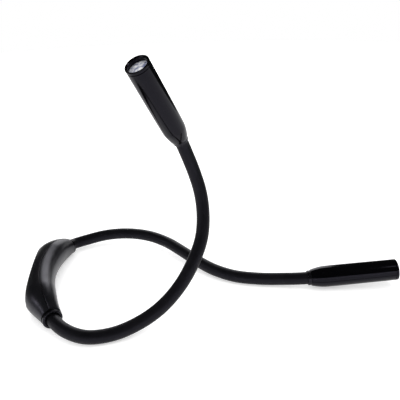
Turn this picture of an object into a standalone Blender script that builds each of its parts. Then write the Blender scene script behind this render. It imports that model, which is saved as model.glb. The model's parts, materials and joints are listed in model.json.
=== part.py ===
"""Hands-free neck reading light: a curved battery housing that rests on the back of the neck, and two
gooseneck arms, each with a tubular LED head. One arm stands up, the other lies beside the housing.

Lengths are millimetres in this file and are turned into metres when a mesh is made. +Z is up and the
object stands on z = 0. The housing is modelled in its own frame: +Y along its length, -X its flat back.
"""

import math

import bmesh
import bpy
from mathutils import Matrix, Vector

MM = 0.001
GAP = 0.3                      # clearance between neighbouring solids
WALL = 1.6                     # wall of every plastic shell

ORIGIN = (2.8, 2.2, 0.0)      # the middle of the lamp's own box, which becomes the world's origin

# Housing: a bar bent round an arc, oval in the middle and round at its two collars.
HOUSING_PLACE = (-120.9, 2.7, 0.0)
HOUSING_TURN = math.radians(7.0)
HALF_LENGTH = 53.8             # middle to the face of a collar
BOW = 13.7                     # how far the middle is bowed out past the collars
COLLAR_R = 7.5
COLLAR_Z = 8.6                 # height of a collar's centre, before the foot is cut
NECK_SIDE = 9.7                # half width of the oval towards the neck
BACK_SIDE = 15.2               # half width towards the back, before the flat is cut
BACK_FLAT = 21.4               # the flat back's distance from the collars' line
HEIGHT = 25.8
MID_BACK_Z = 13.2              # height of the widest line on the back side
MID_NECK_Z = 14.5              # and on the neck side
UNDERCUT = 3.5                 # the neck face leans in by this much at its foot
SQUARENESS = 2.06              # exponent of the oval: 2 is an ellipse
PLAIN_SHARE = 0.37             # share of the half length that keeps the full width
WIDTH_FALL = 1.8               # how late the width falls after that
TALL_SHARE = 0.51              # and the share that keeps the full height
HEIGHT_FALL = 1.88
FOOT_CUT = 0.4                 # the underside is planed flat by this much
PARTING = 0.7                  # how far behind the middle line the two shells meet
COLLAR_RING = 2.0              # length of the ring that closes each collar
SECTIONS = 26
PARTING_POINTS = 19
SECTION_POINTS = 32

# Battery bay, its door and the switches, placed by their distance from the collars' line.
CELL_R, CELL_LENGTH = 5.25, 44.5
CELL_DEPTH = 14.3
CELL_HEIGHTS = {"lower": 7.5, "upper": 18.2}
CELL_SHIFT = 0.9
DOOR_HALF, DOOR_LOW, DOOR_HIGH, DOOR_THICK = 23.9, 3.95, 21.25, 1.6
TRAY_HALF, TRAY_Z = 27.0, (8.3, 20.0)
DRIVER_HALF, DRIVER_Z = 17.0, (11.5, 18.0)
SWITCH_BOARD_END, SWITCH_BOARD_Z, SWITCH_BOARD_X = 34.0, (7.6, 18.0), -11.2
BUTTON_Y, BUTTON_Z, BUTTON_R, BUTTON_PROUD = 30.2, 12.8, 2.7, 0.9
BUTTON_LENGTH, BUTTON_FLANGE = 5.6, 0.9

# Arms: a rubber sleeve over a stiff flexible core, in lengths that hinge on ball and cup.
SLEEVE_R, BORE_R, CORE_R = 5.0, 2.9, 2.4
BALL_R, CUP_R = 4.2, 4.6
NECK_BACK, BALL_CUT, RIM_CUT = 2.4, 1.5, 2.2
CORE_BEFORE, CORE_AFTER = 1.0, 4.2
SLEEVE_SIDES, CORE_SIDES = 12, 8
RING_STEP = 8.5
STUB_IN_COLLAR, STUB_IN_HEAD = 8.0, 7.0
HINGE_SHARES = (0.07, 0.36, 0.65, 0.945)   # where an arm hinges, as shares of its length

# Heads: a turned barrel that swells from its rear bush. A bezel holds the lens against a ledge.
HEAD_LENGTH, MOUTH_R = 71.5, 8.4
HEAD_SWELL = ((3.0, 6.6), (5.0, 7.15), (8.0, 7.8), (11.5, 8.35), (15.5, 8.55))   # (from the rear, radius)
BUSH_LENGTH, BUSH_R = 2.6, 6.0
BEZEL_LENGTH, BEZEL_SKIRT, BEZEL_HOLE_R = 2.0, 1.1, 6.8
LENS_THICK, LENS_R = 1.4, 7.3
HEAD_BORE_R, BOWL_DEPTH, BOARD_THICK, SLUG_LENGTH = 6.9, 11.0, 1.2, 12.0
HEAD_SIDES = 28

# Each arm's centre line, from its collar to the rear face of its head, and the point its head aims at.
FRONT_ROUTE = (
    (-104.3, -60.6, 7.0), (-88, -67, 5.4), (-70, -64.6, 5.1), (-52.5, -57.5, 7.8), (-36, -50.3, 15.6),
    (-21.5, -41.2, 28.0), (-11.0, -31.0, 42.5), (-4.4, -19.6, 57.0), (-3.0, -10.4, 72.0),
    (-4.7, -4.2, 86.5), (-8.6, -0.4, 100.0), (-13.2, 1.0, 113.0), (-17.9, -0.3, 125.6),
)
FRONT_AIM = (-41.3, -32.3, 184.9)
REAR_ROUTE = (
    (-124.3, 61.7, 7.0), (-114.0, 66.6, 7.8), (-95, 70.8, 10.4), (-74.5, 70.2, 11.8), (-54, 65.0, 11.4),
    (-37, 54.8, 10.1), (-22.5, 40.6, 8.6), (-9, 26.3, 7.0), (5.5, 13.4, 5.7), (22, 4.0, 5.15),
    (42, -0.9, 5.2), (61, -3.3, 6.0), (80.7, -5.6, 7.8),
)
REAR_AIM = (153.3, -5.4, 13.9)

COLOURS = {
    "housing_plastic": ((0.022, 0.023, 0.025), 0.35, 0.0),
    "cover_plastic": ((0.03, 0.031, 0.034), 0.38, 0.0),
    "head_plastic": ((0.012, 0.012, 0.013), 0.16, 0.0),
    "sleeve_rubber": ((0.035, 0.035, 0.037), 0.62, 0.0),
    "bush_plastic": ((0.015, 0.015, 0.016), 0.3, 0.0),
    "button_rubber": ((0.07, 0.07, 0.075), 0.55, 0.0),
    "gooseneck_steel": ((0.35, 0.35, 0.37), 0.35, 1.0),
    "contact_steel": ((0.75, 0.75, 0.72), 0.25, 1.0),
    "slug_aluminium": ((0.7, 0.71, 0.73), 0.4, 1.0),
    "reflector_chrome": ((0.9, 0.9, 0.9), 0.08, 1.0),
    "lens_clear": ((0.9, 0.92, 0.94), 0.05, 0.0),
    "led_phosphor": ((0.85, 0.75, 0.3), 0.5, 0.0),
    "circuit_board": ((0.03, 0.16, 0.06), 0.45, 0.0),
    "switch_plastic": ((0.05, 0.05, 0.05), 0.4, 0.0),
    "cell_jacket": ((0.12, 0.2, 0.28), 0.4, 0.0),
    "tray_plastic": ((0.06, 0.06, 0.062), 0.5, 0.0),
    "wire_jacket": ((0.3, 0.03, 0.03), 0.45, 0.0),
}


# ---- objects and materials

def clear_scene():
    for found in list(bpy.data.objects):
        bpy.data.objects.remove(found, do_unlink=True)


def material(name):
    made = bpy.data.materials.get(name)
    if made is None:
        colour, roughness, metallic = COLOURS[name]
        made = bpy.data.materials.new(name)
        made.use_nodes = True
        shader = made.node_tree.nodes["Principled BSDF"]
        shader.inputs["Base Color"].default_value = (*colour, 1.0)
        shader.inputs["Roughness"].default_value = roughness
        shader.inputs["Metallic"].default_value = metallic
    return made


def empty(name, place, turn=0.0, parent=None):
    guide = bpy.data.objects.new(name, None)
    guide.location = Vector(place) * MM
    guide.rotation_euler = (0, 0, turn)
    guide.parent = parent
    bpy.context.scene.collection.objects.link(guide)
    return guide


def add_object(name, shape, look, parent, place=(0, 0, 0), rotation=None, smooth=True):
    """The bmesh, in millimetres about `place`, as an object under `parent`."""
    bmesh.ops.scale(shape, vec=(MM, MM, MM), verts=shape.verts)
    bmesh.ops.recalc_face_normals(shape, faces=shape.faces)
    mesh = bpy.data.meshes.new(name)
    shape.to_mesh(mesh)
    shape.free()
    if smooth:
        mesh.shade_smooth()
        mesh.set_sharp_from_angle(angle=math.radians(35))
    mesh.materials.append(material(look))
    made = bpy.data.objects.new(name, mesh)
    bpy.context.scene.collection.objects.link(made)
    made.parent = parent
    made.location = Vector(place) * MM
    if rotation is not None:
        made.rotation_mode = "QUATERNION"
        made.rotation_quaternion = rotation
    return made


def boolean(target, cutter, operation="DIFFERENCE"):
    step = target.modifiers.new(operation.lower(), "BOOLEAN")
    step.operation = operation
    step.object = cutter
    step.solver = "EXACT"
    cutter.hide_render = True
    cutter.display_type = "WIRE"
    return target


# ---- shapes

def box_shape(low, high):
    shape = bmesh.new()
    bmesh.ops.create_cube(shape, size=1.0)
    size = Vector(high) - Vector(low)
    bmesh.ops.scale(shape, vec=size, verts=shape.verts)
    bmesh.ops.translate(shape, vec=(Vector(low) + Vector(high)) / 2, verts=shape.verts)
    return shape


def rounded_box(low, high, radius, axis):
    """A box whose four edges along `axis` (0, 1 or 2) are rounded."""
    shape = box_shape(low, high)
    edges = [e for e in shape.edges if abs((e.verts[0].co - e.verts[1].co).normalized()[axis]) > 0.9]
    bmesh.ops.bevel(shape, geom=edges, offset=radius, segments=4, profile=0.5, affect="EDGES")
    return shape


def turned(profile, sides):
    """A solid turned about +Z from (height, radius) points; a closed loop of points makes a ring."""
    shape = bmesh.new()
    points = [shape.verts.new((radius, 0, height)) for height, radius in profile]
    hollow = all(radius > 0 for _, radius in profile)
    ends = list(zip(points, points[1:])) + ([(points[-1], points[0])] if hollow else [])
    edges = [shape.edges.new(pair) for pair in ends]
    bmesh.ops.spin(shape, geom=points + edges, cent=(0, 0, 0), axis=(0, 0, 1),
                   angle=math.tau, steps=sides, use_merge=True)
    bmesh.ops.remove_doubles(shape, verts=shape.verts, dist=1e-4)
    return shape


def cylinder(low, high, radius):
    return [(low, 0), (low, radius), (high, radius), (high, 0)]


def skin(rings, loop):
    """Faces between successive rings; the ends are capped, or joined to each other in a loop."""
    shape = bmesh.new()
    rows = [[shape.verts.new(point) for point in ring] for ring in rings]
    pairs = list(zip(rows, rows[1:])) + ([(rows[-1], rows[0])] if loop else [])
    for one, other in pairs:
        for i in range(len(one)):
            j = (i + 1) % len(one)
            shape.faces.new((one[i], one[j], other[j], other[i]))
    if not loop:
        shape.faces.new(reversed(rows[0]))
        shape.faces.new(rows[-1])
    return shape


def prism(outline, low, high):
    """An outline in X and Y, extruded from z = low to z = high."""
    shape = bmesh.new()
    base = shape.faces.new([shape.verts.new((x, y, low)) for x, y in outline])
    grown = bmesh.ops.extrude_face_region(shape, geom=[base])
    tops = [item for item in grown["geom"] if isinstance(item, bmesh.types.BMVert)]
    bmesh.ops.translate(shape, vec=(0, 0, high - low), verts=tops)
    return shape


# ---- the housing's surface

def spine(y):
    """How far back the housing's middle line lies at y, and how far it has turned there."""
    radius = (HALF_LENGTH ** 2 + BOW ** 2) / (2 * BOW)
    return math.sqrt(radius ** 2 - y ** 2) - (radius - BOW), math.asin(y / radius)


def share_past(y, plain):
    """0 over the plain share of the housing, rising to 1 where it has become a round collar."""
    return min(1.0, max(0.0, (abs(y) / HALF_LENGTH - plain) / (1 - plain)))


def fullness(y):
    """How much of its full width and of its full height the housing has at y, each from 1 down to 0."""
    wide, high = share_past(y, PLAIN_SHARE), share_past(y, TALL_SHARE)
    return 1 - (wide ** 2 * (3 - 2 * wide)) ** WIDTH_FALL, 1 - high ** HEIGHT_FALL


def signed_power(value, power):
    return math.copysign(abs(value) ** power, value)


def housing_section(y, inset):
    """The housing's outline at y, taken in by `inset` all round."""
    full, tall = fullness(y)
    depth, turn = spine(y)

    def between(end, middle, share=full):
        return end + (middle - end) * share

    neck, back = between(COLLAR_R, NECK_SIDE) - inset, between(COLLAR_R, BACK_SIDE) - inset
    top = between(COLLAR_Z + COLLAR_R, HEIGHT, tall) - FOOT_CUT - inset
    low = between(COLLAR_Z - COLLAR_R, 0, tall) - FOOT_CUT + inset
    power = 2 / between(2, SQUARENESS)
    ring = []
    for i in range(SECTION_POINTS):
        angle = math.tau * (i + 0.5) / SECTION_POINTS
        out = signed_power(math.cos(angle), power)
        rise = signed_power(math.sin(angle), power)
        middle = between(COLLAR_Z, MID_BACK_Z if out > 0 else MID_NECK_Z, tall) - FOOT_CUT
        z = middle + (top - middle if rise > 0 else middle - low) * rise
        across = (back if out > 0 else neck) * out
        if out < 0 and rise < 0:
            across -= UNDERCUT * full * out * (-rise) ** 1.5
        across = min(across, (BACK_FLAT - inset - depth) / math.cos(turn))
        ring.append((-(depth + across * math.cos(turn)), y + across * math.sin(turn), max(z, inset)))
    return ring


def housing_block(inset, reach):
    """The housing as one solid, up to `reach` either side of its middle."""
    rings = []
    for i in range(SECTIONS + 1):
        y = reach * (2 * i / SECTIONS - 1)
        rings.append(housing_section(y, inset))
    block = skin(rings, loop=False)
    bmesh.ops.triangulate(block, faces=block.faces)   # flat faces keep the Booleans exact
    return block


def cutter(name, shape, parent):
    made = add_object(name, shape, "tray_plastic", parent, smooth=False)
    made.hide_render = True
    made.display_type = "WIRE"
    return made


def collar_frame(side):
    """Centre and outward direction of a collar's face in the housing's frame; side is -1 or 1."""
    depth, turn = spine(side * HALF_LENGTH)
    place = Vector((-depth, side * HALF_LENGTH, COLLAR_Z - FOOT_CUT))
    return place, Vector((math.sin(abs(turn)), side * math.cos(turn), 0))


def along(direction):
    """The rotation that carries +Z to a direction."""
    return Vector((0, 0, 1)).rotation_difference(Vector(direction))


# ---- housing pieces

def beside_parting(offset, far):
    """Everything on one side of the line that runs `offset` behind the middle line, out to x = far."""
    line = []
    for i in range(PARTING_POINTS):
        y = HALF_LENGTH * 1.05 * (2 * i / (PARTING_POINTS - 1) - 1)
        depth, turn = spine(y)
        line.append((-(depth + offset * math.cos(turn)), y + offset * math.sin(turn)))
    return prism(line + [(far, line[-1][1]), (far, line[0][1])], -10, 2 * HEIGHT)


def make_shells(frame):
    reach = HALF_LENGTH - COLLAR_RING - GAP
    hollow = cutter("cut_hollow", housing_block(WALL, HALF_LENGTH), frame)
    behind = cutter("cut_behind", beside_parting(PARTING - GAP / 2, -100), frame)
    ahead = cutter("cut_ahead", beside_parting(PARTING + GAP / 2, 100), frame)
    main = add_object("main_shell", housing_block(0, reach), "housing_plastic", frame)
    boolean(boolean(main, hollow), behind)
    cover = add_object("back_cover", housing_block(0, reach), "cover_plastic", frame)
    boolean(boolean(cover, hollow), ahead)
    doorway = rounded_box((-BACK_FLAT - 5, -DOOR_HALF - GAP, DOOR_LOW - GAP),
                          (-BACK_FLAT + 5, DOOR_HALF + GAP, DOOR_HIGH + GAP), 2.0, 0)
    boolean(cover, cutter("cut_doorway", doorway, frame))
    for side, name in ((-1, "front"), (1, "rear")):
        hole = turned([(0, 0), (0, BUTTON_R + GAP), (9, BUTTON_R + GAP), (9, 0)], 20)
        bmesh.ops.rotate(hole, matrix=Matrix.Rotation(math.radians(90), 3, "Y"), verts=hole.verts)
        bmesh.ops.translate(hole, vec=(-BACK_FLAT - 5, side * BUTTON_Y, BUTTON_Z), verts=hole.verts)
        boolean(cover, cutter("cut_button_" + name, hole, frame))


def make_door(frame):
    shape = rounded_box((0, -DOOR_HALF, DOOR_LOW), (DOOR_THICK, DOOR_HALF, DOOR_HIGH), 1.8, 0)
    add_object("battery_door", shape, "cover_plastic", frame, place=(-BACK_FLAT, 0, 0))


def make_collar(frame, side, name):
    place, outward = collar_frame(side)
    bore = SLEEVE_R + GAP
    ring = turned([(-COLLAR_RING, bore), (-COLLAR_RING, COLLAR_R), (-0.5, COLLAR_R),
                   (0, COLLAR_R - 0.5), (0, bore + 0.6), (-0.6, bore)], 32)
    add_object("collar_" + name, ring, "bush_plastic", frame, place=place, rotation=along(outward))


def make_bay(frame):
    low_x, high_x = -CELL_DEPTH - 2.7, -CELL_DEPTH + CELL_R + 0.4
    floor, end = high_x + 0.8, TRAY_HALF - 0.7
    outline = [(low_x, -TRAY_HALF), (floor, -TRAY_HALF), (floor, TRAY_HALF), (low_x, TRAY_HALF),
               (low_x, end), (high_x, end), (high_x, -end), (low_x, -end)]
    add_object("battery_tray", prism(outline, *TRAY_Z), "tray_plastic", frame, smooth=False)
    quarter = Matrix.Rotation(math.radians(-90), 3, "X").to_quaternion()
    for side, name in ((-1, "lower"), (1, "upper")):
        z = CELL_HEIGHTS[name]
        half, tip = CELL_LENGTH / 2, 1.0
        cell = turned([(-half, 0), (-half, CELL_R - 0.4), (-half + 0.4, CELL_R), (half - tip - 0.4, CELL_R),
                       (half - tip, CELL_R - 0.4), (half - tip, 1.9), (half, 1.9), (half, 0)], 20)
        flip = Matrix.Rotation(math.radians(90 - 90 * side), 3, "Z").to_quaternion()
        place = (-CELL_DEPTH, side * CELL_SHIFT, z)
        add_object("cell_" + name, cell, "cell_jacket", frame, place=place, rotation=flip @ quarter)
        plate = box_shape((-3.2, -0.25, -3.2), (3.2, 0.25, 3.2))
        spot = (-CELL_DEPTH, side * (half + CELL_SHIFT + GAP + 0.25), z)
        add_object("contact_plate_" + name, plate, "contact_steel", frame, place=spot, smooth=False)
        start = half - CELL_SHIFT + GAP
        spring = coil(3.0, 0.3, 3, end - GAP - start)
        spot = (-CELL_DEPTH, -side * start, z)
        face = Matrix.Rotation(math.radians(90 * side), 3, "X").to_quaternion()
        add_object("contact_spring_" + name, spring, "contact_steel", frame, place=spot, rotation=face)


def coil(radius, wire, turns, length):
    """A spring along +Z that starts at z = 0 and widens towards its foot."""
    steps, sides = turns * 10, 5
    rings = []
    for i in range(steps + 1):
        share = i / steps
        angle = math.tau * turns * share
        reach = radius * (0.55 + 0.45 * share)
        centre = Vector((reach * math.cos(angle), reach * math.sin(angle), wire + (length - 2 * wire) * share))
        outward = Vector((math.cos(angle), math.sin(angle), 0))
        ring = []
        for j in range(sides):
            turn = math.tau * j / sides
            ring.append(centre + outward * wire * math.cos(turn) + Vector((0, 0, wire * math.sin(turn))))
        rings.append(ring)
    return skin(rings, loop=False)


def make_electronics(frame):
    board_x = -CELL_DEPTH + CELL_R + 0.8 + 0.4 + GAP
    low_z, high_z = DRIVER_Z
    board = box_shape((board_x, -DRIVER_HALF, low_z), (board_x + 1.0, DRIVER_HALF, high_z))
    add_object("driver_board", board, "circuit_board", frame, smooth=False)
    for side, name in ((-1, "front"), (1, "rear")):
        y = side * BUTTON_Y
        near, far = sorted((side * (TRAY_HALF + 0.6), side * SWITCH_BOARD_END))
        low_z, high_z = SWITCH_BOARD_Z
        back = SWITCH_BOARD_X - 1.0
        plate = box_shape((back, near, low_z), (SWITCH_BOARD_X, far, high_z))
        add_object("switch_board_" + name, plate, "circuit_board", frame, smooth=False)
        body = box_shape((-2.4, -2.6, -2.6), (0, 2.6, 2.6))
        add_object("tact_switch_" + name, body, "switch_plastic", frame,
                   place=(back - GAP, y, BUTTON_Z), smooth=False)
        add_object("button_" + name, button_shape(), "button_rubber", frame,
                   place=(-BACK_FLAT, y, BUTTON_Z), rotation=along((-1, 0, 0)))
        make_lead(frame, side, name, board_x + 0.5)


def button_shape():
    """A push button: +Z points out of the housing and z = 0 is the flat back."""
    inside = WALL + GAP
    return turned([(BUTTON_PROUD, 0), (BUTTON_PROUD, BUTTON_R - 0.4), (BUTTON_PROUD - 0.4, BUTTON_R),
                   (-inside - 0.8, BUTTON_R), (-inside - 0.8, BUTTON_R + 0.9),
                   (-inside - 0.8 - BUTTON_FLANGE, BUTTON_R + 0.9), (-inside - 0.8 - BUTTON_FLANGE, 1.6),
                   (-BUTTON_LENGTH, 1.6), (-BUTTON_LENGTH, 0)], 20)


def make_lead(frame, side, name, board_x):
    """The pair of wires from the driver board to one arm's core, as one jacketed lead."""
    collar, outward = collar_frame(side)
    end = collar - outward * (STUB_IN_COLLAR + 1.2)
    start = Vector((board_x, side * 17.6, 13.5))
    route = Route([start, start.lerp(end, 0.5) + Vector((1.0, 0, 0)), end], None, None)
    add_object("lead_" + name, rod(route, 0, route.length, 0.8, 6, 4), "wire_jacket", frame)


# ---- arms

class Route:
    """A smooth line through points, measured by its length; it runs on straight past both ends."""

    STEPS = 16

    def __init__(self, points, first_way, last_way):
        points = [Vector(p) for p in points]
        ways = [(b - a).normalized() for a, b in zip(points, points[1:])]
        slopes = [first_way or ways[0]]
        for before, here, after in zip(points, points[1:], points[2:]):
            near, far = (here - before).length, (after - here).length
            slopes.append(((here - before) / near * far + (after - here) / far * near) / (near + far))
        slopes.append(last_way or ways[-1])
        self.line = [points[0]]
        for a, b, leave, arrive in zip(points, points[1:], slopes, slopes[1:]):
            span = (b - a).length
            for i in range(1, self.STEPS + 1):
                t = i / self.STEPS
                self.line.append(a * (2 * t ** 3 - 3 * t ** 2 + 1) + leave * span * (t ** 3 - 2 * t ** 2 + t)
                                 + b * (3 * t ** 2 - 2 * t ** 3) + arrive * span * (t ** 3 - t ** 2))
        self.marks = [0.0]
        for a, b in zip(self.line, self.line[1:]):
            self.marks.append(self.marks[-1] + (b - a).length)
        self.length = self.marks[-1]
        self.first_way, self.last_way = slopes[0].normalized(), slopes[-1].normalized()

    def at(self, distance):
        if distance <= 0:
            return self.line[0] + self.first_way * distance
        if distance >= self.length:
            return self.line[-1] + self.last_way * (distance - self.length)
        i = next(k for k, mark in enumerate(self.marks) if mark >= distance)
        share = (distance - self.marks[i - 1]) / (self.marks[i] - self.marks[i - 1])
        return self.line[i - 1].lerp(self.line[i], share)

    def way(self, distance):
        return (self.at(distance + 0.8) - self.at(distance - 0.8)).normalized()


def tube_rings(stations, sides):
    """Rings round (centre, direction, radius) stations, without twist between them."""
    rings = []
    side = None
    for centre, way, radius in stations:
        hint = side if side is not None else Vector((0.31, 0.17, 0.93))
        side = (hint - way * hint.dot(way)).normalized()
        other = way.cross(side)
        angles = [math.tau * i / sides for i in range(sides)]
        rings.append([centre + (side * math.cos(a) + other * math.sin(a)) * radius for a in angles])
    return rings


def rod(route, start, end, radius, sides, pieces):
    stations = []
    for i in range(pieces + 1):
        here = start + (end - start) * i / pieces
        stations.append((route.at(here), route.way(here), radius))
    return skin(tube_rings(stations, sides), loop=False)


def sleeve(route, start, end, cup_start, ball_end):
    """A length of sleeve with its bore. It starts in a cup round `start`, and ends in a ball at `end`."""
    first, last, head, tail = start, end, [], []
    if cup_start:
        centre, way = route.at(start), route.way(start)
        for height in (math.sqrt(CUP_R ** 2 - BORE_R ** 2), 3.0, RIM_CUT):
            head.append((centre + way * height, way, math.sqrt(CUP_R ** 2 - height ** 2)))
        head.append((centre + way * RIM_CUT, way, SLEEVE_R))
        first = start + RIM_CUT + 3.5
    if ball_end:
        centre, way = route.at(end), route.way(end)
        for height, radius in ((-NECK_BACK, SLEEVE_R), (-NECK_BACK, BALL_R), (0, BALL_R),
                               (0.85, math.sqrt(BALL_R ** 2 - 0.85 ** 2)),
                               (BALL_CUT, math.sqrt(BALL_R ** 2 - BALL_CUT ** 2)), (BALL_CUT, BORE_R)):
            tail.append((centre + way * height, way, radius))
        last = end - NECK_BACK - 3.5
    count = max(3, round((last - first) / RING_STEP))
    places = [first + (last - first) * i / count for i in range(count + 1)]
    outside = [(route.at(s), route.way(s), SLEEVE_R) for s in places]
    inside = [(route.at(s), route.way(s), BORE_R) for s in reversed(places)]
    return skin(tube_rings(head + outside + tail + inside, SLEEVE_SIDES), loop=True)


def moved_to(shape, origin):
    bmesh.ops.translate(shape, vec=-Vector(origin), verts=shape.verts)
    return shape


def make_arm(name, route, lamp):
    """Five lengths of arm: one fixed in the housing, three links, and one fixed in the head."""
    hinges = [share * route.length for share in HINGE_SHARES]
    starts = [-STUB_IN_COLLAR] + hinges
    ends = hinges + [route.length + STUB_IN_HEAD]
    for i, (start, end) in enumerate(zip(starts, ends)):
        first, last = i == 0, i == len(hinges)
        origin = Vector(HOUSING_PLACE) if first else route.at(start)
        pivot = empty(f"{name}_pivot_{i}", origin, parent=lamp)
        label = f"{name}_{i}" if 0 < i < len(hinges) else f"{name}_{'root' if first else 'tip'}"
        tube = moved_to(sleeve(route, start, end, not first, not last), origin)
        add_object("sleeve_" + label, tube, "sleeve_rubber", pivot)
        core_start = start - 0.4 if first else start + CORE_AFTER
        core_end = end + 0.4 if last else end - CORE_BEFORE
        pieces = max(4, round((core_end - core_start) / RING_STEP))
        core = rod(route, core_start, core_end, CORE_R, CORE_SIDES, pieces)
        add_object("core_" + label, moved_to(core, origin), "gooseneck_steel", pivot)


# ---- heads

def make_head(name, place, aim, lamp):
    """One LED head. Its parts are turned about the head's axis, which starts at the rear face."""
    axis = (Vector(aim) - Vector(place)).normalized()
    pivot = empty(name + "_head", place, parent=lamp)
    turn = along(axis)

    def add(piece, profile, look, sides=HEAD_SIDES):
        add_object(f"{piece}_{name}", turned(profile, sides), look, pivot, rotation=turn)

    hole = SLEEVE_R + GAP
    end = HEAD_LENGTH
    bezel_back = end - BEZEL_LENGTH
    lens_front = bezel_back - BEZEL_SKIRT - GAP
    ledge = lens_front - LENS_THICK - GAP
    start, counterbore = BUSH_LENGTH + GAP, LENS_R + GAP
    add("rear_bush", [(0, hole), (0, BUSH_R - 0.4), (0.4, BUSH_R), (BUSH_LENGTH, BUSH_R),
                      (BUSH_LENGTH, hole)], "bush_plastic")
    add("barrel", [(start, BUSH_R + 0.3), *HEAD_SWELL, (bezel_back - GAP, MOUTH_R), (bezel_back - GAP, counterbore),
                   (ledge, counterbore), (ledge, HEAD_BORE_R), (16, HEAD_BORE_R), (12, hole), (start, hole)],
        "head_plastic")
    add("bezel", [(bezel_back - BEZEL_SKIRT, BEZEL_HOLE_R - 0.2), (bezel_back - BEZEL_SKIRT, LENS_R),
                  (bezel_back, LENS_R), (bezel_back, MOUTH_R), (end - 0.4, MOUTH_R), (end, MOUTH_R - 0.4),
                  (end, BEZEL_HOLE_R + 0.6), (end - 0.5, BEZEL_HOLE_R)], "head_plastic")
    add("lens", cylinder(lens_front - LENS_THICK, lens_front, LENS_R), "lens_clear", 24)

    rim, inside = ledge - 0.1, HEAD_BORE_R - GAP
    bowl_foot = rim - BOWL_DEPTH
    bowl = [(bowl_foot + BOWL_DEPTH * t, 2.1 + (inside - 2.6) * math.sqrt(t)) for t in (0, 0.15, 0.4, 0.7, 1.0)]
    add("reflector", bowl + [(rim, inside), (rim - 3.5, inside), (bowl_foot, 3.6)], "reflector_chrome", 24)
    board_top = bowl_foot - GAP
    slug_top = board_top - BOARD_THICK - GAP
    slug_foot = slug_top - SLUG_LENGTH
    add("led_board", cylinder(board_top - BOARD_THICK, board_top, inside), "circuit_board", 20)
    chip = board_top + GAP
    add("led_chip", [(chip, 0), (chip, 1.6), (chip + 0.7, 1.6), (chip + 1.3, 0.9), (chip + 1.3, 0)],
        "led_phosphor", 12)
    add("heat_slug", [(slug_foot, 0), (slug_foot, inside - 0.7), (slug_foot + 0.7, inside), (slug_top, inside),
                      (slug_top, 0)], "slug_aluminium", 20)
    add("head_lead", cylinder(STUB_IN_HEAD + 1.0, slug_foot - GAP, 0.9), "wire_jacket", 8)


def main():
    clear_scene()
    lamp = empty("lamp", -Vector(ORIGIN))
    frame = empty("housing_frame", HOUSING_PLACE, HOUSING_TURN, lamp)
    make_shells(frame)
    make_door(frame)
    make_bay(frame)
    make_electronics(frame)
    to_world = Matrix.Translation(HOUSING_PLACE) @ Matrix.Rotation(HOUSING_TURN, 4, "Z")
    arms = (("front", -1, FRONT_ROUTE, FRONT_AIM), ("rear", 1, REAR_ROUTE, REAR_AIM))
    for name, side, points, aim in arms:
        make_collar(frame, side, name)
        collar, outward = collar_frame(side)
        leave = to_world.to_3x3() @ outward
        arrive = (Vector(aim) - Vector(points[-1])).normalized()
        route = Route([to_world @ collar, *points], leave, arrive)
        make_arm(name, route, lamp)
        make_head(name, points[-1], aim, lamp)


main()
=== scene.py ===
"""Looks of a hands-free neck reading light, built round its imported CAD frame.

A curved battery housing carries two gooseneck arms, and each arm ends in a tubular LED head. Lengths are
in millimetres in the lamp's own coordinates, and become world metres when a piece's mesh is made.
"""

import json
import math

import bmesh
import bpy
from mathutils import Matrix, Vector

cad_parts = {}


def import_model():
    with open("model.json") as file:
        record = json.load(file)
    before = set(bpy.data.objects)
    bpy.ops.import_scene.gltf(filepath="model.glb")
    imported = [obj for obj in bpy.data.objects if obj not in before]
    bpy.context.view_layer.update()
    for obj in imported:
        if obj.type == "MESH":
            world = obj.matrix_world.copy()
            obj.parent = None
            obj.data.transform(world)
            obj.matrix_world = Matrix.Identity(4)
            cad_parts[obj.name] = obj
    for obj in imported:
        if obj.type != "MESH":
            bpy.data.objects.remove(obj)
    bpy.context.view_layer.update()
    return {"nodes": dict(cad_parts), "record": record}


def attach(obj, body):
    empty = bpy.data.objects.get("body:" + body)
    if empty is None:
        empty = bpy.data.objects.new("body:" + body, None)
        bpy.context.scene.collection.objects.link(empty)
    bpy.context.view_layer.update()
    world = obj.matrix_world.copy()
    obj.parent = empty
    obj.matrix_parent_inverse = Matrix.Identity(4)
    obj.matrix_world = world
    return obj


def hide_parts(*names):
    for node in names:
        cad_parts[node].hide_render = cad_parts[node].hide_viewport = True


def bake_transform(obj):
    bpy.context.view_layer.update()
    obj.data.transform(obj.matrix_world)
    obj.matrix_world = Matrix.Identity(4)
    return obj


MM = 0.001
GAP = 0.3
WALL = 1.6
ORIGIN = Vector((2.8, 2.2, 0.0))          # the lamp's coordinates of the world's origin
TO_WORLD = Matrix.Scale(MM, 4) @ Matrix.Translation(-ORIGIN)
AXIS_R = 0.001                            # stands for no radius at all in a turned profile
SHARP_EDGE = math.radians(35)             # an edge that turns further than this is shaded sharp

# Camera: place in world millimetres, turns in degrees.
CAMERA_PLACE = (-7.8, -334.2, 232.5)
CAMERA_PITCH, CAMERA_ROLL = 65.0, -1.5
CAMERA_LENS, CAMERA_SENSOR = 43.2, 36.0   # millimetres
CAMERA_CLIP = (0.01, 20.0)                # metres

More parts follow.
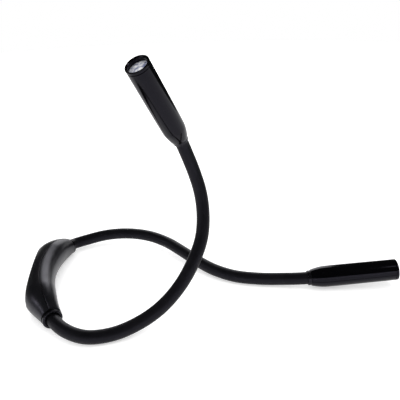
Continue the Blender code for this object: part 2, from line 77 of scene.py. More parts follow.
# Housing: a bar bent round an arc, oval in the middle and round at its two collars.
HOUSING_PLACE = (-120.9, 2.7, 0.0)
HOUSING_TURN = math.radians(7.0)
HOUSING_FRAME = Matrix.Translation(HOUSING_PLACE) @ Matrix.Rotation(HOUSING_TURN, 4, "Z")
HALF_LENGTH, BOW = 53.8, 13.7
COLLAR_R, COLLAR_Z = 7.5, 8.6
NECK_SIDE, BACK_SIDE, BACK_FLAT = 9.7, 15.2, 21.4
HEIGHT, MID_BACK_Z, MID_NECK_Z = 25.8, 13.2, 14.5
UNDERCUT, UNDERCUT_POWER, SQUARENESS = 3.5, 1.5, 2.06
PLAIN_SHARE, WIDTH_FALL = 0.37, 1.8       # where along a half its width starts to fall, and how fast
TALL_SHARE, HEIGHT_FALL = 0.51, 1.88      # the same for its height
FOOT_CUT = 0.4
PARTING, PARTING_CHAMFER = 0.7, 0.22
SHELL_SECTIONS = 128
BACK_STEPS, FLAT_STEPS, NECK_STEPS = 16, 8, 56
FLAT_MARGIN = 1e-3                        # radians by which the flat back's first point clears its corner

COLLAR_RING, COLLAR_EDGE, COLLAR_LIP, COLLAR_ROUND = 2.0, 0.15, (0.6, 0.35), 1.0

DOOR_HALF, DOOR_LOW, DOOR_HIGH, DOOR_THICK = 23.9, 3.95, 21.25, 1.6
DOOR_CORNER, DOOR_EDGE = 1.8, 0.3
DOORWAY_CORNER, DOORWAY_REACH = 2.0, 5.0  # the reach of its cutter to each side of the flat back
CORNER_STEPS, EDGE_STEPS = 8, 3

BUTTON_Y, BUTTON_Z, BUTTON_R, BUTTON_PROUD, BUTTON_LENGTH = 30.2, 12.8, 2.7, 0.9, 5.6
BUTTON_DISH, BUTTON_RIM = 0.12, (0.7, 1.0)
BUTTON_ROUND = 0.35
BUTTON_FLANGE, BUTTON_STEM_R = 0.9, 1.6
BUTTON_SET_BACK = 0.8                     # how far behind the cover's inside face its flange starts, past GAP
BUTTON_HOLE_REACH = 6.0
BUTTON_SIDES, BUTTON_HOLE_SIDES = 48, 40

# Arms.
SLEEVE_R, SLEEVE_BORE = 5.0, 3.7
SLEEVE_STEP, SLEEVE_SIDES = 1.6, 40
SLEEVE_FIRST_SIDE = Vector((0.31, 0.17, 0.93))
STUB_IN_COLLAR, STUB_IN_HEAD = 8.0, 7.0
HINGE_SHARES = (0.07, 0.36, 0.65, 0.945)
BEND_REACH = (14.0, 20.0, 20.0, 11.0)      # how far each way a bend spreads from its hinge
SLEEVE_NODES = (("root", "1"), ("2",), ("3",), ("tip",))
FRONT_ROUTE = (
    (-104.3, -60.6, 7.0), (-88, -67, 5.4), (-70, -64.6, 5.1), (-52.5, -57.5, 7.8), (-36, -50.3, 15.6),
    (-21.5, -41.2, 28.0), (-11.0, -31.0, 42.5), (-4.4, -19.6, 57.0), (-3.0, -10.4, 72.0),
    (-4.7, -4.2, 86.5), (-8.6, -0.4, 100.0), (-13.2, 1.0, 113.0), (-17.9, -0.3, 125.6),
)
FRONT_AIM = (-41.3, -32.3, 184.9)
REAR_ROUTE = (
    (-124.3, 61.7, 7.0), (-114.0, 66.6, 7.8), (-95, 70.8, 10.4), (-74.5, 70.2, 11.8), (-54, 65.0, 11.4),
    (-37, 54.8, 10.1), (-22.5, 40.6, 8.6), (-9, 26.3, 7.0), (5.5, 13.4, 5.7), (22, 4.0, 5.15),
    (42, -0.9, 5.2), (61, -3.3, 6.0), (80.7, -5.6, 7.8),
)
REAR_AIM = (153.3, -5.4, 13.9)

# Heads, turned about an axis that starts at the rear face.
HEAD_LENGTH, MOUTH_R = 71.5, 8.4
HEAD_SWELL = ((3.0, 6.6), (5.0, 7.15), (8.0, 7.8), (11.5, 8.35), (15.5, 8.55), (30, 8.6), (50, 8.52))
BUSH_LENGTH, BUSH_R, BUSH_ROUND = 2.6, 6.0, 0.35
BUSH_MOUTH = (0.3, 0.2)                    # depth and width of the chamfer round the sleeve
BARREL_FOOT, BARREL_SHOULDER = 0.25, (0.15, 0.45)
BARREL_LIP = (0.12, 0.02, 0.1)             # length, swell and setback of the edge beside the bezel
BORE_STEP = (12.0, 16.0)                   # where the bore widens from the sleeve's to the bowl's
BEZEL_LENGTH, BEZEL_SKIRT, BEZEL_HOLE_R = 2.0, 1.1, 6.8
BEZEL_EDGE, BEZEL_LIP, BEZEL_ROUND, BEZEL_INSET = 0.1, (0.6, 0.5), 0.4, 0.2
LENS_THICK, LENS_R, LENS_EDGE = 1.4, 7.3, 0.4
LENS_DOME_R, LENS_DOME_FALL, LENS_PROUD = 6.5, 0.45, 0.05
HEAD_BORE_R, BOWL_DEPTH = 6.9, 11.0
BOWL_FOOT_R, BOWL_FOOT_OUT_R, BOWL_RIM, BOWL_RIM_DEPTH, BOWL_BACK = 2.1, 3.6, 0.5, 3.5, 0.1
HEAD_SIDES, BOWL_SIDES = 96, 64
DOME_STEPS, BOWL_STEPS = 8, 12
SEAM_TURNS = {"front": 222.0, "rear": 90.0}   # where each barrel's moulding seam runs, in degrees
SEAM_HALF, SEAM_DEPTH = 0.16, 0.14

# Surfaces: dark and light tints, range of roughness, depth in mm and scale of the grain, and for the black
# parts how strongly they mirror.
BLUISH = (0.8, 0.77, 1.0, 1.0)             # tint of what the black parts mirror
PATCH_SCALE = 60.0
SURFACES = {
    "housing_plastic": dict(dark=(0.0028, 0.0029, 0.0033), light=(0.004, 0.0041, 0.0046),
                            roughness=(0.3, 0.38), grain=(0.006, 2600.0), gloss=0.3),
    "cover_plastic": dict(dark=(0.003, 0.0031, 0.0035), light=(0.0042, 0.0043, 0.0048),
                          roughness=(0.31, 0.39), grain=(0.006, 2600.0), gloss=0.3),
    "head_plastic": dict(dark=(0.0007, 0.0007, 0.0009), light=(0.0011, 0.0011, 0.0014),
                         roughness=(0.08, 0.12), grain=(0.0015, 900.0), gloss=0.15),
    "bush_plastic": dict(dark=(0.0018, 0.0018, 0.002), light=(0.0028, 0.0028, 0.0031),
                         roughness=(0.22, 0.3), grain=(0.003, 2200.0), gloss=0.22),
    "sleeve_rubber": dict(dark=(0.0022, 0.0022, 0.0026), light=(0.0034, 0.0034, 0.0039),
                          roughness=(0.4, 0.5), grain=(0.02, 2400.0), gloss=0.15),
    "button_rubber": dict(dark=(0.035, 0.035, 0.037), light=(0.05, 0.05, 0.053),
                          roughness=(0.5, 0.62), grain=(0.02, 2600.0)),
    "gooseneck_steel": dict(dark=(0.3, 0.3, 0.31), light=(0.4, 0.4, 0.41),
                            roughness=(0.3, 0.42), grain=(0.02, 500.0), metallic=1.0),
    "contact_steel": dict(dark=(0.66, 0.65, 0.6), light=(0.78, 0.77, 0.72),
                          roughness=(0.2, 0.34), grain=(0.004, 900.0), metallic=1.0),
    "slug_aluminium": dict(dark=(0.62, 0.63, 0.65), light=(0.72, 0.73, 0.75),
                           roughness=(0.3, 0.42), grain=(0.01, 700.0), metallic=1.0, stretch=(1.0, 1.0, 8.0)),
    "reflector_chrome": dict(dark=(0.86, 0.87, 0.88), light=(0.93, 0.93, 0.94),
                             roughness=(0.04, 0.1), grain=(0.05, 420.0), metallic=1.0),
    "led_phosphor": dict(dark=(0.78, 0.62, 0.16), light=(0.88, 0.74, 0.24),
                         roughness=(0.4, 0.5), grain=(0.006, 1800.0)),
    "circuit_board": dict(dark=(0.012, 0.09, 0.03), light=(0.02, 0.14, 0.05),
                          roughness=(0.3, 0.42), grain=(0.02, 700.0)),
    "switch_plastic": dict(dark=(0.02, 0.02, 0.021), light=(0.035, 0.035, 0.037),
                           roughness=(0.35, 0.45), grain=(0.004, 2000.0)),
    "cell_jacket": dict(dark=(0.05, 0.1, 0.15), light=(0.07, 0.13, 0.19),
                        roughness=(0.25, 0.35), grain=(0.004, 900.0)),
    "tray_plastic": dict(dark=(0.02, 0.02, 0.021), light=(0.03, 0.03, 0.031),
                         roughness=(0.4, 0.5), grain=(0.01, 2000.0)),
    "wire_jacket": dict(dark=(0.22, 0.015, 0.012), light=(0.3, 0.025, 0.02),
                        roughness=(0.35, 0.45), grain=(0.004, 1500.0)),
}
# The lens's base colour runs from dark blue to white in a mottle: painted reflections of the reflector's
# bright facets seen through the lens.
LENS_GLINT_TINTS = ((0.18, 0.2, 0.34), (1.0, 1.0, 1.0))
LENS_ROUGHNESS, LENS_WAVE = (0.02, 0.05), (0.02, 420.0)
LENS_CLEARNESS, LENS_IOR = 0.3, 1.46
LENS_GLINT_SCALE, LENS_ROUGHNESS_SCALE = 520.0, 260.0

# Studio, in world metres. A light is its place, target, size, power and whether gloss mirrors it.
FLOOR_RINGS, FLOOR_GLOW = (0.0, 0.5, 1.0, 1.6), 0.42
CARD_R, CARD_ARC, CARD_HEIGHTS, CARD_GLOW = 1.5, (205, 335), (0.0, 0.2, 0.42), 0.75
SHEET_GREY, SHEET_PATCHES = 0.78, 0.02
LIGHTS = {
    "overhead": ((0.0, 0.0, 2.0), (0, 0, 0), (2.6, 2.6), 12.0, False),
    "streak": ((0.55, -0.18, 1.0), (0.1, 0, 0), (0.5, 0.12), 1.2, True),
    "back_panel": ((-0.06, 1.1, 0.48), (-0.1, 0.0, 0.0), (0.72, 0.7), 5.2, True),
    "left_panel": ((-1.05, -0.3, 0.5), (-0.12, -0.03, 0.0), (0.3, 0.24), 1.5, True),
}
WORLD_PALE, WORLD_DARK = (1, 1, 1, 1), (0.03, 0.03, 0.031, 1)


# ---- materials

class Nodes:
    """A new node material, with short calls for adding and joining its nodes."""

    NOISE_SPAN = (0.3, 0.7)                # what a noise's values mostly lie between
    TINT_SPAN = (0.35, 0.65)

    def __init__(self, name):
        self.material = bpy.data.materials.new(name)
        self.material.use_nodes = True
        self.tree = self.material.node_tree
        self.shader = self.tree.nodes["Principled BSDF"]
        self.places = self.add("ShaderNodeTexCoord").outputs["Object"]

    def add(self, kind):
        return self.tree.nodes.new(kind)

    def join(self, start, end):
        self.tree.links.new(start, end)

    def put(self, node, **values):
        """Sets a node's sockets; a socket's name is written with _ for each space."""
        for socket, value in values.items():
            node.inputs[socket.replace("_", " ")].default_value = value

    def noise(self, scale, detail=3.0, rough=0.5, stretch=None):
        node = self.add("ShaderNodeTexNoise")
        self.put(node, Scale=scale, Detail=detail, Roughness=rough)
        source = self.places
        if stretch:
            mapping = self.add("ShaderNodeMapping")
            self.put(mapping, Scale=stretch)
            self.join(source, mapping.inputs["Vector"])
            source = mapping.outputs["Vector"]
        self.join(source, node.inputs["Vector"])
        return node.outputs["Fac"]

    def roughness(self, source, low, high):
        """The noise `source` carries the roughness between low and high."""
        node = self.add("ShaderNodeMapRange")
        self.put(node, From_Min=self.NOISE_SPAN[0], From_Max=self.NOISE_SPAN[1], To_Min=low, To_Max=high)
        self.join(source, node.inputs["Value"])
        self.join(node.outputs["Result"], self.shader.inputs["Roughness"])

    def tints(self, source, *colours):
        """The noise `source` carries the base colour from a dark tint to a light one."""
        node = self.add("ShaderNodeValToRGB")
        for stop, place, colour in zip(node.color_ramp.elements, self.TINT_SPAN, colours):
            stop.position = place
            stop.color = (*colour, 1.0)
        self.join(source, node.inputs["Fac"])
        self.join(node.outputs["Color"], self.shader.inputs["Base Color"])

    def bump(self, source, depth):
        node = self.add("ShaderNodeBump")
        self.put(node, Strength=1.0, Distance=depth * MM)
        self.join(source, node.inputs["Height"])
        self.join(node.outputs["Normal"], self.shader.inputs["Normal"])


def surface(name, dark, light, roughness, grain, gloss=None, metallic=0.0, stretch=None):
    """A moulded, coated or machined surface: patchy colour and gloss over a fine grain."""
    nodes = Nodes(name)
    nodes.tints(nodes.noise(PATCH_SCALE, 4.0, 0.6), dark, light)
    nodes.roughness(nodes.noise(PATCH_SCALE * 2.3, 5.0, 0.6), *roughness)
    nodes.put(nodes.shader, Metallic=metallic)
    depth, scale = grain
    nodes.bump(nodes.noise(scale, 2.0, 0.5, stretch), depth)
    if gloss is not None:
        nodes.put(nodes.shader, Specular_IOR_Level=gloss, Specular_Tint=BLUISH)
    return nodes.material


def lens_material(name):
    """Clear plastic whose mottled base colour is painted reflection, the bright facets of the reflector seen
    through it.
    """
    nodes = Nodes(name)
    nodes.tints(nodes.noise(LENS_GLINT_SCALE, 4.0), *LENS_GLINT_TINTS)
    nodes.roughness(nodes.noise(LENS_ROUGHNESS_SCALE, 4.0), *LENS_ROUGHNESS)
    depth, scale = LENS_WAVE
    nodes.bump(nodes.noise(scale, 2.0), depth)
    nodes.put(nodes.shader, Transmission_Weight=LENS_CLEARNESS, IOR=LENS_IOR)
    return nodes.material


def make_materials():
    """One material for each slot of the record."""
    made = {name: surface(name, **settings) for name, settings in SURFACES.items()}
    made["lens_clear"] = lens_material("lens_clear")
    return made


# ---- pieces

def add_piece(name, shape, slot, look, local=None):
    """The bmesh, in millimetres in the lamp's coordinates or in `local` ones, as a world mesh."""
    bmesh.ops.recalc_face_normals(shape, faces=shape.faces)
    mesh = bpy.data.meshes.new(name)
    shape.to_mesh(mesh)
    shape.free()
    mesh.transform(TO_WORLD @ (local or Matrix.Identity(4)))
    mesh.shade_smooth()
    mesh.set_sharp_from_angle(angle=SHARP_EDGE)
    mesh.materials.append(look[slot])
    piece = bpy.data.objects.new(name, mesh)
    bpy.context.scene.collection.objects.link(piece)
    return piece


def steps(start, end, count):
    return [start + (end - start) * i / count for i in range(count + 1)]


def skin(rings, loop=False):
    """Faces between successive rings; the ends are capped, or joined to each other in a loop."""
    shape = bmesh.new()
    rows = [[shape.verts.new(point) for point in ring] for ring in rings]
    pairs = list(zip(rows, rows[1:])) + ([(rows[-1], rows[0])] if loop else [])
    for one, other in pairs:
        for i in range(len(one)):
            j = (i + 1) % len(one)
            shape.faces.new((one[i], one[j], other[j], other[i]))
    if not loop:
        shape.faces.new(reversed(rows[0]))
        shape.faces.new(rows[-1])
    return shape


def turned(profile, sides=HEAD_SIDES, seams=()):
    """A ring turned about +Z from (height, radius) points. Each seam is a groove along it, at an angle."""
    angles = [(math.tau * i / sides, 0.0) for i in range(sides)]
    if seams:
        width = SEAM_HALF / MOUTH_R
        angles = [(a, dip) for a, dip in angles
                  if all(abs(math.remainder(a - seam, math.tau)) > 2.5 * width for seam in seams)]
        angles += [((seam + side * width) % math.tau, 0.0) for seam in seams for side in (-2, -1, 1, 2)]
        angles += [(seam % math.tau, SEAM_DEPTH) for seam in seams]
        angles.sort()
    rings = []
    for angle, dip in angles:
        radii = [(max(r - dip, AXIS_R), z) for z, r in profile]
        rings.append([(r * math.cos(angle), r * math.sin(angle), z) for r, z in radii])
    return skin(rings, loop=True)


def rounded(points, radius, count=4):
    """An outline of (height, radius) points with its corners rounded; the first and last stay."""
    out = [points[0]]
    for before, here, after in zip(points, points[1:], points[2:]):
        a, b, c = Vector(before), Vector(here), Vector(after)
        reach = min(radius, (a - b).length * 0.45, (c - b).length * 0.45)
        start, end = b + (a - b).normalized() * reach, b + (c - b).normalized() * reach
        for t in steps(0, 1, count):
            out.append(tuple(start * (1 - t) ** 2 + b * 2 * t * (1 - t) + end * t ** 2))
    out.append(points[-1])
    return out


def along(direction):
    """The rotation that carries +Z to a direction."""
    return Vector((0, 0, 1)).rotation_difference(Vector(direction)).to_matrix().to_4x4()


# ---- housing

def spine(y):
    """How far the bent middle line stands off at y, and its turn there."""
    radius = (HALF_LENGTH ** 2 + BOW ** 2) / (2 * BOW)
    return math.sqrt(radius ** 2 - y ** 2) - (radius - BOW), math.asin(y / radius)


def share_past(y, plain):
    return min(1.0, max(0.0, (abs(y) / HALF_LENGTH - plain) / (1 - plain)))


def fullness(y):
    """How much of its full width and of its full height the housing has at y, each from 1 down to 0."""
    wide, high = share_past(y, PLAIN_SHARE), share_past(y, TALL_SHARE)
    return 1 - (wide ** 2 * (3 - 2 * wide)) ** WIDTH_FALL, 1 - high ** HEIGHT_FALL


class Section:
    """The housing's outline at y, taken in by `inset`; point() follows it by angle from the back."""

    def __init__(self, y, inset):
        self.y, self.inset = y, inset
        self.full, self.tall = fullness(y)
        self.depth, self.turn = spine(y)
        self.neck = COLLAR_R + (NECK_SIDE - COLLAR_R) * self.full - inset
        self.back = COLLAR_R + (BACK_SIDE - COLLAR_R) * self.full - inset
        self.power = 2 / (2 + (SQUARENESS - 2) * self.full)
        self.limit = (BACK_FLAT - inset - self.depth) / math.cos(self.turn)

    def tall_between(self, end, middle):
        return end + (middle - end) * self.tall

    def angle_at(self, across):
        """The angle at which the back side's outline is `across` behind the middle line."""
        return math.acos(min(1.0, across / self.back) ** (1 / self.power))

    def point(self, angle):
        cosine, sine = math.cos(angle), math.sin(angle)
        out = math.copysign(abs(cosine) ** self.power, cosine)
        rise = math.copysign(abs(sine) ** self.power, sine)
        top = self.tall_between(COLLAR_Z + COLLAR_R, HEIGHT) - FOOT_CUT - self.inset
        low = self.tall_between(COLLAR_Z - COLLAR_R, 0) - FOOT_CUT + self.inset
        middle = self.tall_between(COLLAR_Z, MID_BACK_Z if out > 0 else MID_NECK_Z) - FOOT_CUT
        z = middle + (top - middle if rise > 0 else middle - low) * rise
        across = (self.back if out > 0 else self.neck) * out
        if out < 0 and rise < 0:
            across -= UNDERCUT * self.full * out * (-rise) ** UNDERCUT_POWER
        across = min(across, self.limit)
        return Vector((-(self.depth + across * math.cos(self.turn)),
                       self.y + across * math.sin(self.turn), max(z, self.inset)))


def half_ring(y, edge, chamfer, follow):
    """A housing half's cut-through outline at y: outside from its top parting edge, then inside back."""
    ring = []
    for inset in (0.0, WALL):
        section = Section(y, inset)
        angles = follow(section, section.angle_at(edge + (0 if inset else chamfer)))
        if inset:
            angles.reverse()
        points = [section.point(a) for a in angles]
        if not inset:
            lip = Section(y, PARTING_CHAMFER)
            turn = lip.angle_at(edge)
            points = [lip.point(turn), *points, lip.point(-turn)]
        ring += points
    return ring


def round_the_back(section, first):
    """Angles from the parting line on top to the one below, with points at the flat back's corners."""
    flat = section.angle_at(max(min(section.limit, section.back), 0.0)) + FLAT_MARGIN
    return (steps(first, flat, BACK_STEPS) + steps(flat, -flat, FLAT_STEPS)[1:]
            + steps(-flat, -first, BACK_STEPS)[1:])


def round_the_neck_side(section, first):
    return steps(first, math.tau - first, NECK_STEPS)


def cover_ring(y):
    return half_ring(y, PARTING + GAP / 2, PARTING_CHAMFER, round_the_back)


def shell_ring(y):
    return half_ring(y, PARTING - GAP / 2, -PARTING_CHAMFER, round_the_neck_side)


def rounded_plate(low, high, radius, edge):
    """A plate across X with rounded corners, and its outer rim softened by `edge`."""
    shape = bmesh.new()
    bmesh.ops.create_cube(shape, size=1.0)
    bmesh.ops.scale(shape, vec=Vector(high) - Vector(low), verts=shape.verts)
    bmesh.ops.translate(shape, vec=(Vector(low) + Vector(high)) / 2, verts=shape.verts)
    corners = [e for e in shape.edges if abs((e.verts[0].co - e.verts[1].co).normalized().x) > 0.9]
    bmesh.ops.bevel(shape, geom=corners, offset=radius, segments=CORNER_STEPS, profile=0.5, affect="EDGES")
    if edge:
        rim = [e for e in shape.edges if all(abs(v.co.x - low[0]) < 1e-4 for v in e.verts)]
        bmesh.ops.bevel(shape, geom=rim, offset=edge, segments=EDGE_STEPS, profile=0.5, affect="EDGES")
    return shape


def cut(piece, cutters):
    """Takes the cutters out of the piece's mesh for good, and removes them."""
    for cutter in cutters:
        step = piece.modifiers.new("cut", "BOOLEAN")
        step.operation, step.object, step.solver = "DIFFERENCE", cutter, "EXACT"
    bpy.context.view_layer.update()
    evaluated = piece.evaluated_get(bpy.context.evaluated_depsgraph_get())
    mesh = bpy.data.meshes.new_from_object(evaluated)
    piece.modifiers.clear()
    piece.data = mesh
    mesh.set_sharp_from_angle(angle=SHARP_EDGE)
    for cutter in cutters:
        bpy.data.objects.remove(cutter, do_unlink=True)


def button_frame(side):
    """A button's place in the flat back, with +Z straight out of it."""
    return HOUSING_FRAME @ Matrix.Translation((-BACK_FLAT, side * BUTTON_Y, BUTTON_Z)) @ along((-1, 0, 0))


def cover_cutters(look):
    """The doorway and the two button holes, as pieces to take out of the back cover."""
    doorway = rounded_plate((-BACK_FLAT - DOORWAY_REACH, -DOOR_HALF - GAP, DOOR_LOW - GAP),
                            (-BACK_FLAT + DOORWAY_REACH, DOOR_HALF + GAP, DOOR_HIGH + GAP), DOORWAY_CORNER, 0)
    cutters = [add_piece("doorway_cut", doorway, "cover_plastic", look, HOUSING_FRAME)]
    for side in (-1, 1):
        ends, radius = (-BUTTON_HOLE_REACH, BUTTON_HOLE_REACH), BUTTON_R + GAP
        hole = turned([(ends[0], AXIS_R), (ends[0], radius), (ends[1], radius), (ends[1], AXIS_R)],
                      BUTTON_HOLE_SIDES)
        cutters.append(add_piece(f"hole_cut_{side}", hole, "cover_plastic", look, button_frame(side)))
    return cutters


def make_housing(look):
    reach = HALF_LENGTH - COLLAR_RING - GAP
    places = steps(-reach, reach, SHELL_SECTIONS)
    shell = add_piece("shell_neck_side", skin([shell_ring(y) for y in places]), "housing_plastic", look,
                      HOUSING_FRAME)
    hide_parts("main_shell")
    cover = add_piece("shell_back_side", skin([cover_ring(y) for y in places]), "cover_plastic", look,
                      HOUSING_FRAME)
    cut(cover, cover_cutters(look))
    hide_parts("back_cover")
    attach(shell, "housing")
    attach(cover, "housing")
    door = rounded_plate((-BACK_FLAT, -DOOR_HALF, DOOR_LOW), (-BACK_FLAT + DOOR_THICK, DOOR_HALF, DOOR_HIGH),
                         DOOR_CORNER, DOOR_EDGE)
    plate = add_piece("door_plate", door, "cover_plastic", look, HOUSING_FRAME)
    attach(plate, "battery_door")
    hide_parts("battery_door")
    for side, name in ((-1, "front"), (1, "rear")):
        make_button(name, side, look)
        make_collar(name, side, look)


def make_button(name, side, look):
    """A dished cap, with a flange behind the cover and a stem down to its switch."""
    flange = -(WALL + GAP + BUTTON_SET_BACK)
    dish = BUTTON_PROUD - BUTTON_DISH
    cap = rounded([(dish, AXIS_R), (dish, BUTTON_R - BUTTON_RIM[1]), (BUTTON_PROUD, BUTTON_R - BUTTON_RIM[0]),
                   (BUTTON_PROUD, BUTTON_R), (flange, BUTTON_R)], BUTTON_ROUND)
    profile = cap + [(flange, BUTTON_R + BUTTON_FLANGE), (flange - BUTTON_FLANGE, BUTTON_R + BUTTON_FLANGE),
                     (flange - BUTTON_FLANGE, BUTTON_STEM_R), (-BUTTON_LENGTH, BUTTON_STEM_R),
                     (-BUTTON_LENGTH, AXIS_R)]
    piece = add_piece("push_button_" + name, turned(profile, BUTTON_SIDES), "button_rubber", look,
                      button_frame(side))
    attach(piece, name + "_button")
    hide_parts("button_" + name)


def collar_frame(side):
    """Where an arm leaves the housing, and the way it leaves."""
    depth, turn = spine(side * HALF_LENGTH)
    place = Vector((-depth, side * HALF_LENGTH, COLLAR_Z - FOOT_CUT))
    return place, Vector((math.sin(abs(turn)), side * math.cos(turn), 0))


def make_collar(name, side, look):
    place, outward = collar_frame(side)
    bore = SLEEVE_R + GAP
    lip_depth, lip_width = COLLAR_LIP
    lip = rounded([(-COLLAR_RING, COLLAR_R - COLLAR_EDGE), (-COLLAR_RING + COLLAR_EDGE, COLLAR_R),
                   (0, COLLAR_R), (0, bore + lip_width), (-lip_depth, bore)], COLLAR_ROUND, 6)
    ring = add_piece("collar_ring_" + name, turned([(-COLLAR_RING, bore)] + lip), "bush_plastic", look,
                     HOUSING_FRAME @ Matrix.Translation(place) @ along(outward))
    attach(ring, "housing")
    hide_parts("collar_" + name)


# ---- arms

class Route:
    """A smooth line through points, measured by its length; it runs on straight past both ends."""

    STEPS = 16

    def __init__(self, points, first_way, last_way):
        points = [Vector(p) for p in points]
        slopes = [first_way]
        for before, here, after in zip(points, points[1:], points[2:]):
            near, far = (here - before).length, (after - here).length
            slopes.append(((here - before) / near * far + (after - here) / far * near) / (near + far))
        slopes.append(last_way)
        self.line = [points[0]]
        for a, b, leave, arrive in zip(points, points[1:], slopes, slopes[1:]):
            span = (b - a).length
            for t in steps(0, 1, self.STEPS)[1:]:
                self.line.append(a * (2 * t ** 3 - 3 * t ** 2 + 1) + leave * span * (t ** 3 - 2 * t ** 2 + t)
                                 + b * (3 * t ** 2 - 2 * t ** 3) + arrive * span * (t ** 3 - t ** 2))
        self.marks = [0.0]
        for a, b in zip(self.line, self.line[1:]):
            self.marks.append(self.marks[-1] + (b - a).length)
        self.length = self.marks[-1]
        self.first_way, self.last_way = slopes[0].normalized(), slopes[-1].normalized()

    def at(self, distance):
        if distance <= 0:
            return self.line[0] + self.first_way * distance
        if distance >= self.length:
            return self.line[-1] + self.last_way * (distance - self.length)
        i = next(k for k, mark in enumerate(self.marks) if mark >= distance)
        share = (distance - self.marks[i - 1]) / (self.marks[i] - self.marks[i - 1])
        return self.line[i - 1].lerp(self.line[i], share)

    def way(self, distance):
        return (self.at(distance + SLEEVE_STEP) - self.at(distance - SLEEVE_STEP)).normalized()

    def stations(self, start, end):
        """(centre, direction) about every SLEEVE_STEP from start to end."""
        count = math.ceil((end - start) / SLEEVE_STEP)
        return [(self.at(distance), self.way(distance)) for distance in steps(start, end, count)]


def tube(stations):
    """A sleeve with its bore round the stations."""
    angles = [math.tau * i / SLEEVE_SIDES for i in range(SLEEVE_SIDES)]
    rings = []
    for radius, line in ((SLEEVE_R, stations), (SLEEVE_BORE, reversed(stations))):
        for centre, way, side in line:
            other = way.cross(side)
            rings.append([centre + (side * math.cos(a) + other * math.sin(a)) * radius for a in angles])
    return skin(rings, loop=True)


def make_arm(name, route, look):
    """Four lengths of one smooth sleeve, split between its hinges."""
    hinges = [share * route.length for share in HINGE_SHARES]
    cuts = [-STUB_IN_COLLAR]
    for i in (0, 1, 2):
        cuts.append((hinges[i] + BEND_REACH[i] + hinges[i + 1] - BEND_REACH[i + 1]) / 2)
    cuts.append(route.length + STUB_IN_HEAD)
    whole, ends = [], [0]
    for start, end in zip(cuts, cuts[1:]):
        part = route.stations(start, end)
        whole += part[1:] if whole else part
        ends.append(len(whole) - 1)
    side, line = SLEEVE_FIRST_SIDE, []
    for centre, way in whole:
        side = (side - way * side.dot(way)).normalized()
        line.append((centre, way, side))
    for i, (first, last) in enumerate(zip(ends, ends[1:])):
        piece = add_piece(f"sleeve_bend_{name}_{i + 1}", tube(line[first:last + 1]), "sleeve_rubber", look)
        start = TO_WORLD @ route.at(hinges[i] - BEND_REACH[i])
        end = TO_WORLD @ route.at(hinges[i] + BEND_REACH[i])
        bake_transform(piece)
        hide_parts(*[f"sleeve_{name}_{label}" for label in SLEEVE_NODES[i]])


# ---- heads

def smooth_profile(points, per_span=4):
    """A smooth line through (height, radius) points."""
    padded = [points[0], *points, points[-1]]
    out = []
    for span in zip(padded, padded[1:], padded[2:], padded[3:]):
        a, b, c, d = [Vector(point) for point in span]
        for t in steps(0, 1, per_span)[:-1]:
            out.append(tuple(0.5 * (2 * b + (c - a) * t + (2 * a - 5 * b + 4 * c - d) * t ** 2
                                    + (3 * b - 3 * c + d - a) * t ** 3)))
    return out + [points[-1]]


def bush_profile(hole):
    depth, width = BUSH_MOUTH
    outside = rounded([(0, hole + width), (0, BUSH_R), (BUSH_LENGTH, BUSH_R)], BUSH_ROUND)
    return [(depth, hole)] + outside + [(BUSH_LENGTH, hole)]


def barrel_profile(hole, bezel_back, ledge):
    start, end, counterbore = BUSH_LENGTH + GAP, bezel_back - GAP, LENS_R + GAP
    shoulder, rise = BARREL_SHOULDER
    length, swell, setback = BARREL_LIP
    outside = smooth_profile([(start + shoulder, BUSH_R + rise), *HEAD_SWELL])
    return [(start, BUSH_R + BARREL_FOOT), *outside, (end - length, MOUTH_R + swell), (end, MOUTH_R - setback),
            (end, counterbore), (ledge, counterbore), (ledge, HEAD_BORE_R), (BORE_STEP[1], HEAD_BORE_R),
            (BORE_STEP[0], hole), (start, hole)]


def bezel_profile(bezel_back):
    end, skirt = HEAD_LENGTH, bezel_back - BEZEL_SKIRT
    lip_depth, lip_width = BEZEL_LIP
    rim = rounded([(bezel_back, MOUTH_R - BEZEL_EDGE), (bezel_back + BEZEL_EDGE, MOUTH_R), (end, MOUTH_R),
                   (end, BEZEL_HOLE_R + lip_width), (end - lip_depth, BEZEL_HOLE_R)], BEZEL_ROUND, 5)
    return [(skirt, BEZEL_HOLE_R - BEZEL_INSET), (skirt, LENS_R), (bezel_back, LENS_R)] + rim


def lens_profile(lens_front):
    dome = [(lens_front + LENS_PROUD - LENS_DOME_FALL * (r / LENS_DOME_R) ** 2, max(r, AXIS_R))
            for r in steps(0, LENS_DOME_R, DOME_STEPS)]
    back = lens_front - LENS_THICK
    return dome + [(lens_front - LENS_EDGE, LENS_R), (back, LENS_R), (back, AXIS_R)]


def bowl_profile(ledge):
    top, outside = ledge - BOWL_BACK, HEAD_BORE_R - GAP
    foot, mouth = top - BOWL_DEPTH, outside - BOWL_RIM
    bowl = [(foot + BOWL_DEPTH * t ** 2, BOWL_FOOT_R + (mouth - BOWL_FOOT_R) * t)
            for t in steps(0, 1, BOWL_STEPS)]
    return bowl + [(top, outside), (top - BOWL_RIM_DEPTH, outside), (foot, BOWL_FOOT_OUT_R)]


def make_head(name, place, aim, look):
    local = Matrix.Translation(place) @ along((Vector(aim) - Vector(place)).normalized())
    seam = math.radians(SEAM_TURNS[name])
    hole = SLEEVE_R + GAP
    bezel_back = HEAD_LENGTH - BEZEL_LENGTH
    lens_front = bezel_back - BEZEL_SKIRT - GAP
    ledge = lens_front - LENS_THICK - GAP
    seamed = turned(barrel_profile(hole, bezel_back, ledge), seams=(seam, seam + math.pi))
    pieces = (("bush_ring", turned(bush_profile(hole)), "bush_plastic", "rear_bush"),
              ("barrel_shell", seamed, "head_plastic", "barrel"),
              ("bezel_ring", turned(bezel_profile(bezel_back)), "head_plastic", "bezel"),
              ("lens_disc", turned(lens_profile(lens_front)), "lens_clear", "lens"),
              ("reflector_bowl", turned(bowl_profile(ledge), BOWL_SIDES), "reflector_chrome", "reflector"))
    for piece, shape, slot, node in pieces:
        made = add_piece(f"{piece}_{name}", shape, slot, look, local)
        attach(made, name + "_head")
        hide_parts(f"{node}_{name}")


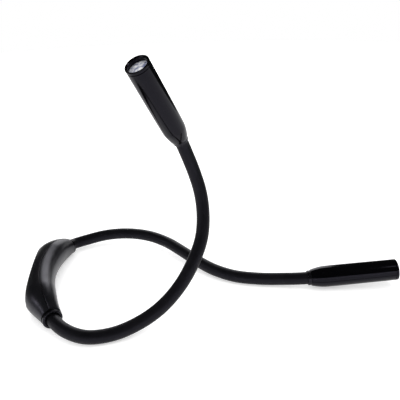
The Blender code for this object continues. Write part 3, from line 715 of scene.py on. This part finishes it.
# ---- surroundings

def stage_sheet(name, rows, glow):
    """An open sheet through rows of points, which glows a little so that its shadows stay pale."""
    shape = bmesh.new()
    lines = [[shape.verts.new(point) for point in row] for row in rows]
    for one, other in zip(lines, lines[1:]):
        for i in range(len(one) - 1):
            shape.faces.new((one[i], one[i + 1], other[i + 1], other[i]))
    bmesh.ops.remove_doubles(shape, verts=shape.verts, dist=1e-6)
    mesh = bpy.data.meshes.new(name)
    shape.to_mesh(mesh)
    shape.free()
    mesh.shade_smooth()
    nodes = Nodes(name)
    nodes.tints(nodes.noise(3.0), (SHEET_GREY,) * 3, (SHEET_GREY + SHEET_PATCHES,) * 3)
    nodes.put(nodes.shader, Roughness=0.9, Specular_IOR_Level=0.05, Emission_Color=(1, 1, 1, 1),
              Emission_Strength=glow)
    mesh.materials.append(nodes.material)
    sheet = bpy.data.objects.new(name, mesh)
    bpy.context.scene.collection.objects.link(sheet)


def make_floor():
    """A white table top, and a low white card in front of it, behind the camera."""
    turns = steps(0, math.tau, 72)
    rows = [[(r * math.cos(a), r * math.sin(a), 0.0) for a in turns] for r in FLOOR_RINGS]
    stage_sheet("studio_floor", rows, FLOOR_GLOW)
    turns = [math.radians(a) for a in steps(*CARD_ARC, 24)]
    rows = [[(CARD_R * math.cos(a), CARD_R * math.sin(a), z) for a in turns] for z in CARD_HEIGHTS]
    stage_sheet("front_card", rows, CARD_GLOW)


def add_light(name, place, target, size, power, glossy):
    data = bpy.data.lights.new(name, "AREA")
    data.shape = "RECTANGLE"
    data.size, data.size_y = size
    data.energy = power
    light = bpy.data.objects.new(name, data)
    light.location = place
    light.rotation_euler = (Vector(target) - Vector(place)).to_track_quat("-Z", "Y").to_euler()
    light.visible_glossy = glossy
    bpy.context.scene.collection.objects.link(light)


def make_world():
    """Pale for the eye and for the floor, and dark where the lamp's gloss would mirror it."""
    world = bpy.data.worlds.new("studio")
    world.use_nodes = True
    tree = world.node_tree
    dark = tree.nodes["Background"]
    dark.inputs["Color"].default_value = WORLD_DARK
    pale = tree.nodes.new("ShaderNodeBackground")
    pale.inputs["Color"].default_value = WORLD_PALE
    path, mix = tree.nodes.new("ShaderNodeLightPath"), tree.nodes.new("ShaderNodeMixShader")
    tree.links.new(path.outputs["Is Glossy Ray"], mix.inputs["Fac"])
    tree.links.new(dark.outputs[0], mix.inputs[2])
    tree.links.new(pale.outputs[0], mix.inputs[1])
    tree.links.new(mix.outputs[0], tree.nodes["World Output"].inputs["Surface"])
    bpy.context.scene.world = world


def make_camera():
    data = bpy.data.cameras.new("camera")
    data.lens, data.sensor_width = CAMERA_LENS, CAMERA_SENSOR
    data.clip_start, data.clip_end = CAMERA_CLIP
    camera = bpy.data.objects.new("camera", data)
    pitch = Matrix.Rotation(math.radians(CAMERA_PITCH), 4, "X")
    roll = Matrix.Rotation(math.radians(CAMERA_ROLL), 4, "Z")
    camera.matrix_world = Matrix.Translation(Vector(CAMERA_PLACE) * MM) @ pitch @ roll
    bpy.context.scene.collection.objects.link(camera)
    bpy.context.scene.camera = camera


def main():
    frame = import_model()
    make_camera()
    look = make_materials()
    slots = {part["node"]: part["material_slot"] for part in frame["record"]["subparts"]}
    for name, node in frame["nodes"].items():
        node.data.materials.clear()
        node.data.materials.append(look[slots[name]])
    make_housing(look)
    for name, side, points, aim in (("front", -1, FRONT_ROUTE, FRONT_AIM), ("rear", 1, REAR_ROUTE, REAR_AIM)):
        collar, outward = collar_frame(side)
        leave = HOUSING_FRAME.to_3x3() @ outward
        arrive = (Vector(aim) - Vector(points[-1])).normalized()
        make_arm(name, Route([HOUSING_FRAME @ collar, *points], leave, arrive), look)
        make_head(name, points[-1], aim, look)
    make_floor()
    make_world()
    for name, settings in LIGHTS.items():
        add_light(name, *settings)
    bpy.context.scene.view_settings.view_transform = "Standard"


main()
